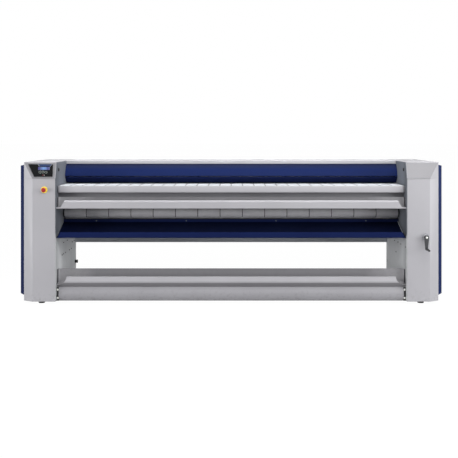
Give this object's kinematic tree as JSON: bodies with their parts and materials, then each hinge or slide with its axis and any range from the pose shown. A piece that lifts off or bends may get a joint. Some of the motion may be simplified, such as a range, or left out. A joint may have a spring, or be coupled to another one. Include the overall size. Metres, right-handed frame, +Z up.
{
  "type": "flatwork ironer",
  "caption": "Wide flatwork ironer with end columns, a feed table with belts, a hooded heated cylinder, linen troughs, a return pan and a hand crank.",
  "frame": {"origin": "on the floor, under the middle of the whole machine from crank grip to exhaust spigot", "axes": "+X along the width to the operator's right, +Y from the feeding side to the back, +Z up"},
  "size_m": [4.172, 1.34, 1.391],
  "materials": {
    "light_grey_paint": "satin",
    "mid_grey_paint": "satin",
    "navy_paint": "satin",
    "dark_paint": "satin",
    "zinc_steel": "satin",
    "polished_steel": "polished",
    "cast_housing": "matt",
    "ironing_felt": "matt",
    "feed_webbing": "matt",
    "black_rubber": "matt",
    "black_plastic": "matt",
    "panel_glass": "gloss",
    "red_plastic": "gloss",
    "yellow_plastic": "satin"
  },
  "bodies": {
    "frame": {"left_end_frame": "mid_grey_paint", "right_end_frame": "mid_grey_paint", "left_column_shell": "light_grey_paint", "right_column_shell": "light_grey_paint", "left_side_cover": "navy_paint", "right_side_cover": "navy_paint", "rear_covers": "light_grey_paint", "base_plates": "dark_paint", "levelling_feet": "black_rubber", "top_cover": "light_grey_paint", "hood_panel": "navy_paint", "finger_guard_pins": "zinc_steel", "rear_panel": "navy_paint", "rear_beam": "mid_grey_paint", "feed_table_casing": "light_grey_paint", "feed_bed": "zinc_steel", "feed_belts": "feed_webbing", "upper_trough": "light_grey_paint", "return_pan": "navy_paint", "lower_trough": "light_grey_paint", "lower_front_panel": "light_grey_paint", "panel_bolts": "zinc_steel", "cylinder_bearings": "cast_housing", "heating_elements": "dark_paint", "heater_carrier": "zinc_steel", "ironing_belts": "ironing_felt", "roller_bearings_left": "cast_housing", "roller_bearings_right": "cast_housing", "stripper_bar": "zinc_steel", "stripper_fingers": "dark_paint", "drive_motor": "mid_grey_paint", "gearbox_housing": "cast_housing", "drive_belt": "black_rubber", "crank_escutcheon": "light_grey_paint", "exhaust_fan_housing": "zinc_steel", "fan_motor": "mid_grey_paint", "control_panel": "panel_glass", "estop_body": "yellow_plastic", "controller_box": "mid_grey_paint", "plugs_and_gland": "black_rubber"},
    "cylinder": {"ironing_cylinder": "polished_steel", "cylinder_end_left": "zinc_steel", "cylinder_end_right": "zinc_steel", "cylinder_pulley": "cast_housing"},
    "entry_roller": {"entry_roller": "zinc_steel"},
    "exit_roller": {"exit_roller": "zinc_steel"},
    "rear_lower_roller": {"rear_lower_roller": "zinc_steel"},
    "rear_upper_roller": {"rear_upper_roller": "zinc_steel"},
    "feed_front_roller": {"feed_front_roller": "zinc_steel"},
    "feed_rear_roller": {"feed_rear_roller": "zinc_steel"},
    "drive_pulley": {"drive_pulley": "zinc_steel"},
    "hand_crank": {"hand_crank": "dark_paint"},
    "crank_grip": {"crank_grip": "black_plastic"},
    "finger_guard": {"finger_guard": "navy_paint"},
    "fan_impeller": {"fan_impeller": "dark_paint"},
    "estop_plunger": {"estop_plunger": "zinc_steel"},
    "estop_cap": {"estop_cap": "red_plastic"},
    "panel_button_left": {"panel_button_left": "polished_steel"},
    "panel_button_middle": {"panel_button_middle": "polished_steel"},
    "panel_button_right": {"panel_button_right": "polished_steel"}
  },
  "joints": [
    {"name": "cylinder_spin", "type": "hinge", "parent": "frame", "child": "cylinder", "pos_m": [0, 0.26, 1], "axis": [-1, 0, 0], "continuous": true},
    {"name": "entry_roller_spin", "type": "hinge", "parent": "frame", "child": "entry_roller", "pos_m": [0, 0.12385, 1.25605], "axis": [-1, 0, 0], "continuous": true},
    {"name": "exit_roller_spin", "type": "hinge", "parent": "frame", "child": "exit_roller", "pos_m": [0, -0.11, 0.866], "axis": [-1, 0, 0], "continuous": true},
    {"name": "rear_lower_roller_spin", "type": "hinge", "parent": "frame", "child": "rear_lower_roller", "pos_m": [0, 0.522, 0.7], "axis": [-1, 0, 0], "continuous": true},
    {"name": "rear_upper_roller_spin", "type": "hinge", "parent": "frame", "child": "rear_upper_roller", "pos_m": [0, 0.522, 1.262], "axis": [-1, 0, 0], "continuous": true},
    {"name": "feed_front_roller_spin", "type": "hinge", "parent": "frame", "child": "feed_front_roller", "pos_m": [0, -0.3836, 1.1296], "axis": [-1, 0, 0], "continuous": true},
    {"name": "feed_rear_roller_spin", "type": "hinge", "parent": "frame", "child": "feed_rear_roller", "pos_m": [0, -0.025, 1.1296], "axis": [-1, 0, 0], "continuous": true},
    {"name": "drive_pulley_spin", "type": "hinge", "parent": "frame", "child": "drive_pulley", "pos_m": [1.795, -0.15, 0.662], "axis": [-1, 0, 0], "continuous": true},
    {"name": "hand_crank_spin", "type": "hinge", "parent": "frame", "child": "hand_crank", "pos_m": [1.893, -0.49, 0.662], "axis": [0, 1, 0], "continuous": true},
    {"name": "crank_grip_spin", "type": "hinge", "parent": "hand_crank", "child": "crank_grip", "pos_m": [1.893, -0.6, 0.55], "axis": [0, 1, 0], "continuous": true},
    {"name": "finger_guard_hinge", "type": "hinge", "parent": "frame", "child": "finger_guard", "pos_m": [0, -0.006, 1.222], "axis": [1, 0, 0], "range_deg": [0, 12]},
    {"name": "fan_impeller_spin", "type": "hinge", "parent": "frame", "child": "fan_impeller", "pos_m": [-1.8, 0.39, 1.245], "axis": [1, 0, 0], "continuous": true},
    {"name": "estop_press", "type": "slide", "parent": "frame", "child": "estop_plunger", "axis": [0, 1, 0], "range_m": [0, 0.005]},
    {"name": "estop_release_twist", "type": "hinge", "parent": "estop_plunger", "child": "estop_cap", "pos_m": [-1.823, -0.52, 1.122], "axis": [0, 1, 0], "range_deg": [0, 30], "stiffness_Nm_per_rad": 0.4},
    {"name": "panel_button_left_press", "type": "slide", "parent": "frame", "child": "panel_button_left", "axis": [0, 0.9377, -0.3473], "range_m": [0, 0.0015], "stiffness_N_per_m": 400},
    {"name": "panel_button_middle_press", "type": "slide", "parent": "frame", "child": "panel_button_middle", "axis": [0, 0.9377, -0.3473], "range_m": [0, 0.0015], "stiffness_N_per_m": 400},
    {"name": "panel_button_right_press", "type": "slide", "parent": "frame", "child": "panel_button_right", "axis": [0, 0.9377, -0.3473], "range_m": [0, 0.0015], "stiffness_N_per_m": 400}
  ],
  "couplings": [
    {"joint": "entry_roller_spin", "follows": "cylinder_spin", "ratio": -5.2832},
    {"joint": "exit_roller_spin", "follows": "cylinder_spin", "ratio": -5.2832},
    {"joint": "rear_lower_roller_spin", "follows": "cylinder_spin", "ratio": -7.1534},
    {"joint": "rear_upper_roller_spin", "follows": "cylinder_spin", "ratio": -7.1534},
    {"joint": "feed_front_roller_spin", "follows": "cylinder_spin", "ratio": 8.4507},
    {"joint": "feed_rear_roller_spin", "follows": "cylinder_spin", "ratio": 8.4507},
    {"joint": "drive_pulley_spin", "follows": "cylinder_spin", "ratio": 3.5556},
    {"joint": "hand_crank_spin", "follows": "cylinder_spin", "ratio": 3.5556}
  ]
}
